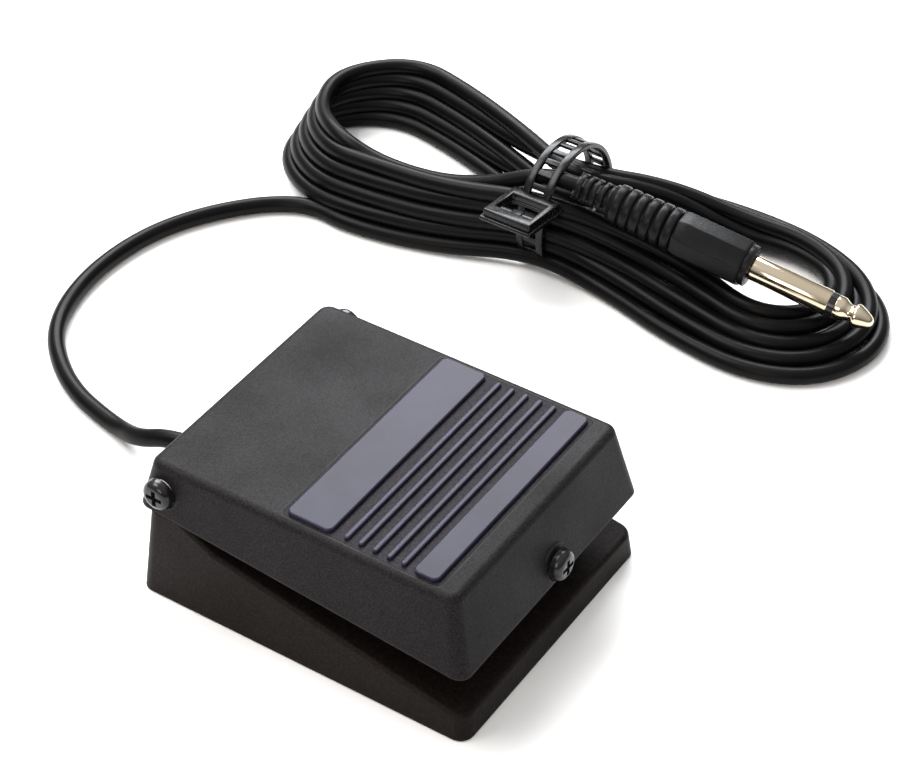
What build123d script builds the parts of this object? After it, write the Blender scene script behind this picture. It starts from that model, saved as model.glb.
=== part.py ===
from build123d import *
import os
from math import cos, pi, radians, sin, tan

os.makedirs("parts", exist_ok=True)

# ---------------------------------------------------------------- driving dimensions (mm)
# The front of the pedal, the pressed end, is towards -Y; the hinge and the cord are towards +Y.

# base casting
base_half_width = 34.0        # at the floor
base_half_length = 41.5       # at the floor
base_tapers = (0.10, 0.11, 0.085)      # side, front, rear: inward per mm of height
base_clearance = 0.3          # the walls end this far above the floor
base_wall = 2.2
deck_thickness = 2.0
deck_front_y = -40.8
deck_front_z = 6.4
deck_slope = 0.184            # rise per mm towards the rear
shoulder_foot_y = 22.0        # where the base leaves the deck's slope beside the hinge
shoulder_y = 31.5
shoulder_z = 22.5

# cover
cover_top = 36.0
cover_half_width = 31.2       # at the top face
cover_front_y = -37.0         # at the top face
cover_rear_y = 37.9
cover_flares = (0.166, 0.227, 0.237)   # side, front, rear: outward per mm downwards
cover_wall = 1.6
cover_roof = 2.4
skirt_front_y = -41.1
skirt_front_z = 17.9
skirt_slope = 0.078
cover_corner = 3.0            # radius of the standing corners
cover_edge = 1.9              # radius round the top face

# hinge
pivot_y = 34.3
pivot_z = 29.8
pivot_shank = 2.0             # radius of an M4 shank
pivot_face = 32.2             # flat seat on the cover's side, from the middle
ear_outer = 29.0              # outer face of the base's ear, from the middle
ear_width = 4.5
ear_radius = 3.0

# tread
mat_half_width = 29.3
mat_ends = (-32.2, 5.9)       # front and rear edge of the sheet
mat_depth = 1.2
band_half_width = 28.9
rear_band = (-6.0, 5.0)       # front and rear edge
front_band = (-31.4, -25.6)
band_height = 0.9
rib_count = 5
rib_first_y = -9.35
rib_pitch = 3.42
rib_length = 56.8
rib_width = 1.2
rib_height = 0.75

# screws
head_radius = 3.5             # M4 pan head
head_height = 2.6
small_head_radius = 2.7       # M3 pan head
small_head_height = 1.8
small_shank = 1.5
front_screw_x = 2.0
front_screw_z = 21.6
front_screw_seat = -40.4      # where the head bears on the cover's front wall
front_boss_y = -37.7

# travel guide
guide_half_width = 6.5
guide_front_y = -32.8
guide_sheet = 1.2
guide_top_z = 26.8
sleeve_radius = 3.0
slot_side_gap = 0.4
slot_low_z = 11.8
slot_high_z = 24.9

# down stops
stop_x = 20.0
stop_y = -30.0
stop_seat_z = 10.2
stop_height = 2.8
stop_radius = 4.0
post_end_z = 19.75

# return spring
spring_y = -14.0
spring_seat_z = 13.4
spring_radius = 5.6
spring_wire = 1.2
spring_turns = 7

# switch
switch_x = 12.0
switch_size = (6.4, 19.8, 10.2)
switch_rear_y = 16.0
switch_bottom_z = 17.6
lever_pivot_y = 14.2
lever_rest_angle = 12.1       # the lever stands up by this much at rest
lever_length = 18.6
lever_strip = 0.4
button_reach = 5.2            # from the lever's hinge to the button
terminal_reaches = (1.7, 9.9, 18.1)    # from the switch's rear face
bracket_sheet = 1.2
bracket_foot = (8.0, 13.0)

# cord
cord_diameter = 4.2
cord_radius = cord_diameter / 2
cord_gap = 0.03               # round the cord where a piece holds it
exit_z = 9.0
relief_end_y = 54.4
jacket_end_y = 23.0

# plug, a standard 6.35 mm phone plug
plug_start = Vector(117.6, -23.2, 15.4)      # where the metal leaves the moulding
plug_heading = Vector(2.4, -31.2, -5.0)      # it lies nose down on the hank
plug_radius = 3.175
sleeve_end = 20.3             # distances along the plug from plug_start
insulator_end = 21.8
plug_length = 31.5


# ---------------------------------------------------------------- shared shapes

def leaning_plane(point, lean, outward):
    """Plane of a wall that moves outward by lean for each mm downwards."""
    return Plane(origin=point, z_dir=Vector(outward) + Vector(0, 0, lean))


def tapered_block(low, high, level, half_width, front_y, rear_y, tapers):
    """Block whose four walls lean in as they rise. The plan sizes hold at the height called level."""
    side, front, rear = tapers
    with BuildPart() as block:
        with BuildSketch(Plane.XY.offset(low)):
            Rectangle(150, 150)
        extrude(amount=high - low)
        for sign in (-1, 1):
            wall = leaning_plane((sign * half_width, 0, level), side, (sign, 0, 0))
            split(bisect_by=wall, keep=Keep.BOTTOM)
        split(bisect_by=leaning_plane((0, front_y, level), front, (0, -1, 0)), keep=Keep.BOTTOM)
        split(bisect_by=leaning_plane((0, rear_y, level), rear, (0, 1, 0)), keep=Keep.BOTTOM)
    return block.part


def rod(plane, radius, length):
    """Round bar standing on a plane."""
    with BuildPart() as bar:
        with BuildSketch(plane):
            Circle(radius)
        extrude(amount=length)
    return bar.part


def tube(plane, outer, inner, length):
    """Round tube standing on a plane."""
    with BuildPart() as pipe:
        with BuildSketch(plane):
            Circle(outer)
            Circle(inner, mode=Mode.SUBTRACT)
        extrude(amount=length)
    return pipe.part


def standing_edges(builder):
    """Edges that rise from the bottom to the top of a block."""
    return builder.edges().filter_by(lambda e: abs((e @ 1 - e @ 0).normalized().Z) > 0.8)


def cross_x(x, y, z):
    """Plane across the X axis, with its sketch measured in Y and Z."""
    return Plane(origin=(x, y, z), x_dir=(0, 1, 0), z_dir=(1, 0, 0))


def cross_y(x, y, z):
    """Plane across the Y axis that faces the front."""
    return Plane(origin=(x, y, z), x_dir=(1, 0, 0), z_dir=(0, -1, 0))


def deck_z(y):
    """Height of the deck's upper face."""
    return deck_front_z + deck_slope * (y - deck_front_y)


def deck_plane(x, y, drop=0):
    """Plane on the deck's upper face, or square below it by drop."""
    face = Plane(origin=(x, y, deck_z(y)), x_dir=(1, 0, 0), z_dir=(0, -deck_slope, 1))
    return face.offset(-drop)


def top_z(y):
    """Height of the base's upper face, the shoulder included."""
    return deck_z(y) if y < shoulder_foot_y else shoulder_z


def side_profile(y_z_points, half_width):
    """Slab with the given outline in Y and Z, as wide as twice half_width."""
    with BuildPart() as slab:
        with BuildSketch(Plane.YZ):
            Polygon(*y_z_points, align=None)
        extrude(amount=half_width, both=True)
    return slab.part


def pan_screw(seat, radius, height, shank, length):
    """Pan head screw with a cross recess. The head stands on the seat, the shank runs the other way."""
    cross_length = 1.15 * radius
    cross_width = 0.3 * radius
    with BuildPart() as screw:
        with BuildSketch(seat):
            Circle(radius)
        extrude(amount=height)
        rim = screw.edges().sort_by(Axis(seat.origin, seat.z_dir))[-1]
        fillet(rim, 0.62 * height)
        with BuildSketch(seat.offset(height)):
            Rectangle(cross_length, cross_width)
            Rectangle(cross_width, cross_length)
        extrude(amount=-0.55 * height, taper=9, mode=Mode.SUBTRACT)
        with BuildSketch(seat):
            Circle(shank)
        extrude(amount=-length)
        tip = screw.edges().sort_by(Axis(seat.origin, seat.z_dir))[0]
        chamfer(tip, 0.25 * shank)
    return screw.part


# ---------------------------------------------------------------- base casting

def base_block(inset, low, top_drop):
    """The wedge with its shoulder, shrunk by inset at the walls and by top_drop at the top."""
    front_z = deck_z(-60)
    above = 60
    outline = [
        (-60, front_z), (shoulder_foot_y, deck_z(shoulder_foot_y)), (shoulder_y, shoulder_z),
        (60, shoulder_z), (60, above), (-60, above),
    ]
    lowered = [(y, z - top_drop) for y, z in outline]
    return tapered_block(
        low, shoulder_z - top_drop, 0,
        base_half_width - inset, inset - base_half_length, base_half_length - inset, base_tapers,
    ) - side_profile(lowered, 80)


plate_top = 2.1
plate_thickness = 1.2
plate_inset = 1.35
rebate_inset = 1.2
plate_screw_spots = [(sx * 25.0, sy * 33.0) for sx in (-1, 1) for sy in (-1, 1)]
guide_screw_spots = [(front_screw_x + sx * 3.4, -27.4) for sx in (-1, 1)]
bracket_plate_x = switch_x + switch_size[0] / 2
bracket_screw_spots = [(bracket_plate_x + 5.2, y) for y in (2.6, 10.4)]
clamp_y = 29.0
clamp_half_width = 8.5
clamp_half_length = 2.5
clamp_top_z = 11.1
clamp_screw_x = 5.7

with BuildPart() as base_housing:
    add(base_block(0, base_clearance, 0))
    fillet(standing_edges(base_housing), 3.2)
    upper_faces = base_housing.faces().filter_by(lambda f: f.normal_at().Z > 0.6)
    upper_edges = upper_faces.edges()
    rim = [e for e in upper_edges if sum(e.is_same(other) for other in upper_edges) == 1]
    fillet(rim, 1.1)
    # hollow, with a rebate round the mouth for the bottom plate
    add(base_block(base_wall, plate_top, deck_thickness), mode=Mode.SUBTRACT)
    add(tapered_block(
        0, plate_top, 0, base_half_width - rebate_inset, rebate_inset - base_half_length,
        base_half_length - rebate_inset, base_tapers), mode=Mode.SUBTRACT)
    # ears that carry the pivot screws, inside the cover
    for side in (-1, 1):
        inner_x = side * (ear_outer - ear_width)
        with BuildSketch(Plane.YZ.offset(inner_x)):
            with Locations((pivot_y, pivot_z)):
                Circle(ear_radius)
            with Locations((pivot_y, (pivot_z + shoulder_z) / 2 - 1)):
                Rectangle(2 * ear_radius, pivot_z - shoulder_z + 2)
        extrude(amount=side * ear_width)
        add(rod(cross_x(side * 20, pivot_y, pivot_z), pivot_shank + cord_gap, side * 12), mode=Mode.SUBTRACT)
    # lip along the rear wall that closes the gap under the cover's rear skirt
    with BuildSketch(Plane.XY.offset(shoulder_z - deck_thickness)):
        with Locations((0, 37.4)):
            Rectangle(2 * (ear_outer - ear_width), 1.2)
    extrude(amount=5.5)
    # seat and pip for the return spring
    add(rod(Plane(origin=(0, spring_y, deck_z(spring_y) - 2.5)), 7.4, spring_seat_z - deck_z(spring_y) + 2.5))
    add(rod(Plane(origin=(0, spring_y, spring_seat_z)), 4.2, 2.2))
    # seats for the two down stops
    for side in (-1, 1):
        seat_root = deck_z(stop_y) - 1.8
        add(rod(Plane(origin=(side * stop_x, stop_y, seat_root)), 4.8, stop_seat_z - seat_root))
    # bosses under the deck
    for x, y in guide_screw_spots + bracket_screw_spots:
        add(rod(deck_plane(x, y, 4.6), 3.0, 3.6))
    for x, y in plate_screw_spots:
        add(rod(Plane(origin=(x, y, plate_top)), 3.6, top_z(y) - plate_top - 1.2))
    with BuildSketch(Plane.XY.offset(clamp_top_z)):
        with Locations((0, clamp_y)):
            Rectangle(2 * clamp_half_width, 2 * clamp_half_length)
    extrude(amount=shoulder_z - clamp_top_z - 2.8)
    # pad round the cord's hole in the rear wall
    add(rod(cross_y(0, 40.6, exit_z), 5.2, 2.6))
    # holes
    for x, y in guide_screw_spots + bracket_screw_spots:
        add(rod(deck_plane(x, y, 4.2), small_shank, 8), mode=Mode.SUBTRACT)
    for x, y in plate_screw_spots:
        depth = 4.0 if y < 0 else 8.0
        add(rod(Plane(origin=(x, y, 0)), small_shank, plate_top + depth), mode=Mode.SUBTRACT)
    for side in (-1, 1):
        add(rod(Plane(origin=(side * stop_x, stop_y, stop_seat_z - 3.4)), 1.6, 6), mode=Mode.SUBTRACT)
        add(rod(Plane(origin=(side * clamp_screw_x, clamp_y, clamp_top_z - 1)), small_shank, 5),
            mode=Mode.SUBTRACT)
    add(rod(cross_y(0, 60, exit_z), 3.4, 30), mode=Mode.SUBTRACT)
    add(rod(cross_y(0, 60, exit_z), 5.0, 60 - 40.3), mode=Mode.SUBTRACT)
    # window under the switch for its terminals and wires
    with BuildSketch(Plane.XY.offset(2.5)):
        with Locations((switch_x, switch_rear_y - 10.0)):
            Rectangle(5.2, 20.8)
    extrude(amount=17, mode=Mode.SUBTRACT)
base_housing.part.label = "base_housing"
export_step(base_housing.part, "parts/base_housing.step")

with BuildPart() as bottom_plate:
    add(tapered_block(
        plate_top - plate_thickness, plate_top, 0, base_half_width - plate_inset,
        plate_inset - base_half_length, base_half_length - plate_inset, base_tapers))
    fillet(standing_edges(bottom_plate), 2.0)
    for x, y in plate_screw_spots:
        with Locations(Plane(origin=(x, y, plate_top - plate_thickness), z_dir=(0, 0, -1))):
            CounterSinkHole(small_shank + 0.1, 2.9, depth=plate_thickness, counter_sink_angle=90)
bottom_plate.part.label = "bottom_plate"
export_step(bottom_plate.part, "parts/bottom_plate.step")

with BuildPart() as bottom_plate_screws:
    for x, y in plate_screw_spots:
        with BuildSketch(Plane(origin=(x, y, plate_top - plate_thickness))):
            Circle(2.75)
        extrude(amount=1.2, taper=45)
        add(rod(Plane(origin=(x, y, plate_top - plate_thickness + 0.2)), small_shank - 0.02, 4.6))
        with BuildSketch(Plane(origin=(x, y, plate_top - plate_thickness))):
            Rectangle(3.0, 0.7)
            Rectangle(0.7, 3.0)
        extrude(amount=0.8, mode=Mode.SUBTRACT)
bottom_plate_screws.part.label = "bottom_plate_screws"
export_step(bottom_plate_screws.part, "parts/bottom_plate_screws.step")

with BuildPart() as non_slip_sheet:
    with BuildSketch():
        RectangleRounded(2 * base_half_width - 4.4, 2 * base_half_length - 4.4, 2.0)
        with Locations(*plate_screw_spots):
            Circle(3.6, mode=Mode.SUBTRACT)
    extrude(amount=plate_top - plate_thickness)
non_slip_sheet.part.label = "non_slip_sheet"
export_step(non_slip_sheet.part, "parts/non_slip_sheet.step")


# ---------------------------------------------------------------- cover and tread

def cover_block(inset, roof):
    """The cover's block above the skirt, shrunk by inset at the walls and by roof at the top."""
    return tapered_block(
        10, cover_top - roof, cover_top, cover_half_width - inset,
        cover_front_y + inset, cover_rear_y - inset, cover_flares)


with BuildPart() as cover_hollow:
    add(cover_block(cover_wall, cover_roof))
    fillet(standing_edges(cover_hollow), cover_corner - cover_wall)

with BuildPart() as pedal_cover:
    add(cover_block(0, 0))
    fillet(standing_edges(pedal_cover), cover_corner)
    fillet(pedal_cover.faces().sort_by(Axis.Z)[-1].edges(), cover_edge)
    add(cover_hollow.part, mode=Mode.SUBTRACT)
    # thickened seats for the pivot bushes and the front screw
    for side in (-1, 1):
        add(rod(cross_x(side * 30.0, pivot_y, pivot_z), 3.6, side * 1.4))
    add(rod(cross_y(front_screw_x, front_boss_y, front_screw_z), 4.4, 2.0))
    # pip for the spring, posts for the down stops, rib for the switch lever
    underside = cover_top - cover_roof
    add(rod(Plane(origin=(0, spring_y, underside + 0.5), z_dir=(0, 0, -1)), 4.0, 2.9))
    for side in (-1, 1):
        top = Plane(origin=(side * stop_x, stop_y, underside + 0.5), z_dir=(0, 0, -1))
        add(rod(top, 3.5, underside + 0.5 - post_end_z))
    rib_y = lever_pivot_y - 16.9
    add(rod(cross_x(switch_x - 3.5, rib_y, underside), 1.0, 7.0))
    split(bisect_by=Plane(origin=(0, skirt_front_y, skirt_front_z), z_dir=(0, -skirt_slope, 1)),
          keep=Keep.TOP)
    # recess for the tread
    with BuildSketch(Plane.XY.offset(cover_top - mat_depth)):
        with Locations((0, sum(mat_ends) / 2)):
            RectangleRounded(2 * mat_half_width + 0.2, mat_ends[1] - mat_ends[0] + 0.2, 1.3)
    extrude(amount=mat_depth + 1, mode=Mode.SUBTRACT)
    # holes and flat seats for the screws
    for side in (-1, 1):
        add(rod(cross_x(side * 26, pivot_y, pivot_z), 2.8, side * 10), mode=Mode.SUBTRACT)
        add(rod(cross_x(side * pivot_face, pivot_y, pivot_z), 4.0, side * 3), mode=Mode.SUBTRACT)
    add(rod(cross_y(front_screw_x, -30, front_screw_z), pivot_shank + cord_gap, 16), mode=Mode.SUBTRACT)
    add(rod(cross_y(front_screw_x, front_screw_seat, front_screw_z), 3.9, 4), mode=Mode.SUBTRACT)
pedal_cover.part.label = "pedal_cover"
export_step(pedal_cover.part, "parts/pedal_cover.step")

with BuildPart() as tread_mat:
    with BuildSketch(Plane.XY.offset(cover_top - mat_depth)):
        with Locations((0, sum(mat_ends) / 2)):
            RectangleRounded(2 * mat_half_width, mat_ends[1] - mat_ends[0], 1.2)
    extrude(amount=mat_depth)
    for front, rear in (rear_band, front_band):
        with BuildSketch(Plane.XY.offset(cover_top)):
            with Locations((0, (front + rear) / 2)):
                RectangleRounded(2 * band_half_width, rear - front, 1.5)
        extrude(amount=band_height)
    fillet(tread_mat.faces().group_by(Axis.Z)[-1].edges(), 0.4)
    for index in range(rib_count):
        with BuildSketch(Plane.XY.offset(cover_top)):
            with Locations((0, rib_first_y - index * rib_pitch)):
                SlotOverall(rib_length, rib_width)
        extrude(amount=rib_height)
    rib_tops = tread_mat.faces().filter_by(
        lambda f: abs(f.center().Z - cover_top - rib_height) < 0.01 and f.normal_at().Z > 0.9)
    fillet(rib_tops.edges(), 0.35)
tread_mat.part.label = "tread_mat"
export_step(tread_mat.part, "parts/tread_mat.step")


# ---------------------------------------------------------------- hinge

for side, word in ((-1, "left"), (1, "right")):
    seat = cross_x(side * (pivot_face + 0.3), pivot_y, pivot_z)
    if side < 0:
        seat = Plane(origin=seat.origin, x_dir=(0, 1, 0), z_dir=(-1, 0, 0))
    with BuildPart() as pivot_screw:
        add(pan_screw(seat, head_radius, head_height, pivot_shank, 9.5))
    pivot_screw.part.label = f"pivot_screw_{word}"
    export_step(pivot_screw.part, f"parts/pivot_screw_{word}.step")

    with BuildPart() as pivot_bush:
        add(tube(cross_x(side * 30.0, pivot_y, pivot_z), 2.8, pivot_shank + 0.05, side * (pivot_face - 30.0)))
        add(tube(cross_x(side * 29.3, pivot_y, pivot_z), 3.1, pivot_shank + 0.05, side * 0.7))
    pivot_bush.part.label = f"pivot_bush_{word}"
    export_step(pivot_bush.part, f"parts/pivot_bush_{word}.step")


# ---------------------------------------------------------------- front screw and travel guide

with BuildPart() as front_screw:
    add(pan_screw(
        cross_y(front_screw_x, front_screw_seat, front_screw_z), head_radius, head_height,
        pivot_shank, 10.6))
front_screw.part.label = "front_screw"
export_step(front_screw.part, "parts/front_screw.step")

nut_thickness = 3.2
with BuildPart() as front_nut:
    with BuildSketch(cross_y(front_screw_x, front_boss_y + nut_thickness, front_screw_z)):
        RegularPolygon(3.5, 6, major_radius=False, rotation=30)
        Circle(pivot_shank + 0.01, mode=Mode.SUBTRACT)
    extrude(amount=nut_thickness)
front_nut.part.label = "front_nut"
export_step(front_nut.part, "parts/front_nut.step")

with BuildPart() as stop_sleeve:
    add(tube(cross_y(front_screw_x, -30.2, front_screw_z), sleeve_radius, pivot_shank + 0.01, 4.2))
stop_sleeve.part.label = "stop_sleeve"
export_step(stop_sleeve.part, "parts/stop_sleeve.step")

guide_rear_y = guide_front_y + guide_sheet
with BuildPart() as guide_bracket:
    with BuildSketch(Plane.YZ.offset(front_screw_x - guide_half_width)):
        Polygon(
            (guide_front_y, deck_z(guide_front_y)), (guide_rear_y, deck_z(guide_rear_y)),
            (guide_rear_y, guide_top_z), (guide_front_y, guide_top_z), align=None)
    extrude(amount=2 * guide_half_width)
    with BuildSketch(deck_plane(front_screw_x, guide_front_y + 4.6)):
        Rectangle(2 * guide_half_width, 9.2)
    extrude(amount=guide_sheet)
    with BuildSketch(cross_y(front_screw_x, guide_rear_y + 1, (slot_low_z + slot_high_z) / 2)):
        SlotOverall(slot_high_z - slot_low_z, 2 * (sleeve_radius + slot_side_gap), rotation=90)
    extrude(amount=4, mode=Mode.SUBTRACT)
    for x, y in guide_screw_spots:
        add(rod(deck_plane(x, y, 1), small_shank + 0.1, 4), mode=Mode.SUBTRACT)
guide_bracket.part.label = "guide_bracket"
export_step(guide_bracket.part, "parts/guide_bracket.step")

with BuildPart() as guide_bracket_screws:
    for x, y in guide_screw_spots:
        seat = deck_plane(x, y, -guide_sheet)
        add(pan_screw(seat, small_head_radius, small_head_height, small_shank - 0.02, 4.6))
guide_bracket_screws.part.label = "guide_bracket_screws"
export_step(guide_bracket_screws.part, "parts/guide_bracket_screws.step")

with BuildPart() as down_stop_bumpers:
    for side in (-1, 1):
        seat = Plane(origin=(side * stop_x, stop_y, stop_seat_z))
        with BuildSketch(seat):
            Circle(stop_radius)
        extrude(amount=stop_height)
        add(rod(Plane(origin=(side * stop_x, stop_y, stop_seat_z - 3.2)), 1.57, 3.4))
    fillet(down_stop_bumpers.edges().group_by(Axis.Z)[-1], 0.8)
down_stop_bumpers.part.label = "down_stop_bumpers"
export_step(down_stop_bumpers.part, "parts/down_stop_bumpers.step")


# ---------------------------------------------------------------- return spring

spring_low = spring_seat_z + spring_wire / 2 + 0.05
spring_high = cover_top - cover_roof - spring_wire / 2 - 0.05
spring_pitch = (spring_high - spring_low) / spring_turns
with BuildPart() as return_spring:
    with BuildLine() as coil:
        Helix(spring_pitch, spring_high - spring_low, spring_radius, center=(0, spring_y, spring_low))
    with BuildSketch(Plane(origin=coil.line @ 0, z_dir=coil.line % 0)):
        Circle(spring_wire / 2)
    sweep(path=coil.line, is_frenet=True)
return_spring.part.label = "return_spring"
export_step(return_spring.part, "parts/return_spring.step")


# ---------------------------------------------------------------- switch

switch_top_z = switch_bottom_z + switch_size[2]
switch_front_y = switch_rear_y - switch_size[1]
lever_pivot_z = switch_top_z + 0.3
button_y = lever_pivot_y - button_reach
lever_plane = Plane(
    origin=(switch_x, lever_pivot_y, lever_pivot_z),
    x_dir=(0, -cos(radians(lever_rest_angle)), sin(radians(lever_rest_angle))),
    z_dir=(-1, 0, 0))
switch_screw_z = switch_bottom_z + 2.6
switch_screw_spots = [(switch_rear_y - 5.15, switch_screw_z), (switch_rear_y - 14.65, switch_screw_z)]

with BuildPart() as switch_body:
    with BuildSketch(Plane.XY.offset(switch_bottom_z)):
        with Locations((switch_x, (switch_rear_y + switch_front_y) / 2)):
            Rectangle(switch_size[0], switch_size[1])
    extrude(amount=switch_size[2])
    fillet(standing_edges(switch_body), 0.5)
    add(rod(cross_x(switch_x - 4, lever_pivot_y, lever_pivot_z), 0.95, 8), mode=Mode.SUBTRACT)
    add(rod(Plane(origin=(switch_x, button_y, switch_top_z - 3.5)), 1.06, 5), mode=Mode.SUBTRACT)
    for y, z in switch_screw_spots:
        add(rod(cross_x(switch_x - 4, y, z), 1.2, 8), mode=Mode.SUBTRACT)
switch_body.part.label = "switch_body"
export_step(switch_body.part, "parts/switch_body.step")

with BuildPart() as switch_lever:
    with BuildSketch(lever_plane):
        with Locations((lever_length / 2, 0.2 + lever_strip / 2)):
            Rectangle(lever_length, lever_strip)
        Circle(0.6)
    extrude(amount=1.8, both=True)
switch_lever.part.label = "switch_lever"
export_step(switch_lever.part, "parts/switch_lever.step")

button_top_z = lever_pivot_z + button_reach * tan(radians(lever_rest_angle)) + 0.2 - 0.3
with BuildPart() as switch_button:
    add(rod(Plane(origin=(switch_x, button_y, switch_top_z - 2.1)), 1.0, button_top_z - switch_top_z + 2.1))
    fillet(switch_button.edges().sort_by(Axis.Z)[-1], 0.5)
switch_button.part.label = "switch_button"
export_step(switch_button.part, "parts/switch_button.step")

with BuildPart() as switch_terminals:
    for reach in terminal_reaches:
        with BuildSketch(Plane.XY.offset(switch_bottom_z)):
            with Locations((switch_x, switch_rear_y - reach)):
                Rectangle(3.2, 0.5)
        extrude(amount=-3.9)
switch_terminals.part.label = "switch_terminals"
export_step(switch_terminals.part, "parts/switch_terminals.step")

with BuildPart() as switch_bracket:
    with BuildSketch(Plane.YZ.offset(bracket_plate_x)):
        Polygon(
            (-1.0, deck_z(-1.0)), (14.0, deck_z(14.0)), (14.0, switch_bottom_z + 6.0),
            (-1.0, switch_bottom_z + 6.0), align=None)
    extrude(amount=bracket_sheet)
    foot_x = bracket_plate_x + bracket_foot[0] / 2
    with BuildSketch(deck_plane(foot_x, 6.5)):
        Rectangle(bracket_foot[0], bracket_foot[1])
    extrude(amount=bracket_sheet)
    for x, y in bracket_screw_spots:
        add(rod(deck_plane(x, y, 1), small_shank + 0.1, 4), mode=Mode.SUBTRACT)
    for y, z in switch_screw_spots:
        add(rod(cross_x(bracket_plate_x - 1, y, z), 1.12, 4), mode=Mode.SUBTRACT)
switch_bracket.part.label = "switch_bracket"
export_step(switch_bracket.part, "parts/switch_bracket.step")

with BuildPart() as switch_screws:
    for y, z in switch_screw_spots:
        seat = Plane(origin=(switch_x - switch_size[0] / 2, y, z), x_dir=(0, 1, 0), z_dir=(-1, 0, 0))
        add(pan_screw(seat, 2.0, 1.4, 1.1, switch_size[0] + 2.2))
switch_screws.part.label = "switch_screws"
export_step(switch_screws.part, "parts/switch_screws.step")

with BuildPart() as switch_bracket_screws:
    for x, y in bracket_screw_spots:
        seat = deck_plane(x, y, -bracket_sheet)
        add(pan_screw(seat, small_head_radius, small_head_height, small_shank - 0.02, 4.6))
switch_bracket_screws.part.label = "switch_bracket_screws"
export_step(switch_bracket_screws.part, "parts/switch_bracket_screws.step")


# ---------------------------------------------------------------- cord inside the base


with BuildPart() as cord_inside:
    add(rod(cross_y(0, relief_end_y, exit_z), cord_radius, relief_end_y - jacket_end_y))
cord_inside.part.label = "cord_inside"
export_step(cord_inside.part, "parts/cord_inside.step")

clamp_bottom_z = 5.6
with BuildPart() as cord_clamp:
    with BuildSketch(cross_y(0, clamp_y + clamp_half_length, 0)):
        with Locations((0, (clamp_bottom_z + clamp_top_z - 0.2) / 2)):
            RectangleRounded(2 * clamp_half_width, clamp_top_z - 0.2 - clamp_bottom_z, 1.0)
        with Locations((0, exit_z)):
            Circle(cord_radius + cord_gap, mode=Mode.SUBTRACT)
        with Locations((0, exit_z + 2)):
            Rectangle(2 * (cord_radius + cord_gap), 4, mode=Mode.SUBTRACT)
    extrude(amount=2 * clamp_half_length)
    for side in (-1, 1):
        add(rod(Plane(origin=(side * clamp_screw_x, clamp_y, 4)), small_shank + 0.1, 8), mode=Mode.SUBTRACT)
cord_clamp.part.label = "cord_clamp"
export_step(cord_clamp.part, "parts/cord_clamp.step")

with BuildPart() as cord_clamp_screws:
    for side in (-1, 1):
        seat = Plane(origin=(side * clamp_screw_x, clamp_y, clamp_bottom_z), z_dir=(0, 0, -1))
        add(pan_screw(seat, small_head_radius, small_head_height, small_shank - 0.02, 8.4))
cord_clamp_screws.part.label = "cord_clamp_screws"
export_step(cord_clamp_screws.part, "parts/cord_clamp_screws.step")

# moulded bush in the rear wall that runs out into the strain relief
pad_outer_y = 40.3
pad_inner_y = 38.0
relief_ring_count = 5
relief_ring_pitch = 2.3
with BuildPart() as cord_grommet:
    add(rod(cross_y(0, pad_outer_y + 1.6, exit_z), 4.8, 1.6))
    add(rod(cross_y(0, pad_outer_y, exit_z), 3.38, pad_outer_y - pad_inner_y))
    add(rod(cross_y(0, pad_inner_y, exit_z), 4.4, 1.4))
    with BuildSketch(cross_y(0, relief_end_y, exit_z)):
        Circle(2.9)
    with BuildSketch(cross_y(0, pad_outer_y + 1.6, exit_z)):
        Circle(3.7)
    loft()
    for ring in range(relief_ring_count):
        groove_y = pad_outer_y + 2.9 + ring * relief_ring_pitch
        add(tube(cross_y(0, groove_y, exit_z), 6.0, 3.1 - 0.1 * ring, 0.8), mode=Mode.SUBTRACT)
    add(rod(cross_y(0, 60, exit_z), cord_radius + cord_gap, 30), mode=Mode.SUBTRACT)
cord_grommet.part.label = "cord_grommet"
export_step(cord_grommet.part, "parts/cord_grommet.step")

wire_diameter = 1.2
terminal_low_z = switch_bottom_z - 3.9
terminal_ys = [switch_rear_y - reach for reach in terminal_reaches]
wire_routes = {
    "wire_common": [
        (0.8, jacket_end_y, exit_z), (0.8, 18.5, exit_z), (5.5, 15, 7.6),
        (switch_x, terminal_ys[0], 8.6), (switch_x, terminal_ys[0], terminal_low_z)],
    "wire_make": [
        (-0.8, jacket_end_y, exit_z), (-0.8, 15, exit_z), (5, 7.5, 7.4),
        (switch_x, terminal_ys[1], 7.6), (switch_x, terminal_ys[1], terminal_low_z)],
}
for name, route in wire_routes.items():
    with BuildPart() as wire:
        with BuildLine() as wire_path:
            FilletPolyline(*route, radius=2.0)
        with BuildSketch(Plane(origin=wire_path.line @ 0, z_dir=wire_path.line % 0)):
            Circle(wire_diameter / 2)
        sweep(path=wire_path.line)
    wire.part.label = name
    export_step(wire.part, f"parts/{name}.step")


# ---------------------------------------------------------------- free cord

# from the strain relief down to the floor, round behind the pedal and into the hank
lead_route = [Vector(*point) for point in [
    (0, relief_end_y, exit_z), (0, 61.8, exit_z), (0.4, 70, 6.5), (0.9, 78, 3.4),
    (2.0, 86.5, cord_radius), (5.0, 95.5, cord_radius), (11, 104, cord_radius), (20.5, 111.5, cord_radius),
    (33, 117.5, cord_radius), (48, 119.8, cord_radius), (62, 117.5, cord_radius),
    (74.5, 112.8, cord_radius), (84, 107, cord_radius), (91.5, 99.5, cord_radius), (95.8, 90, cord_radius),
]]


def corner_radii(route):
    """Radius at each corner of a route, as large as the two runs beside it allow."""
    radii = []
    for before, corner, after in zip(route, route[1:], route[2:]):
        turn = (corner - before).get_angle(after - corner)
        shorter = min((corner - before).length, (after - corner).length)
        radii.append(0.45 * shorter / tan(radians(turn) / 2))
    return radii


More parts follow.
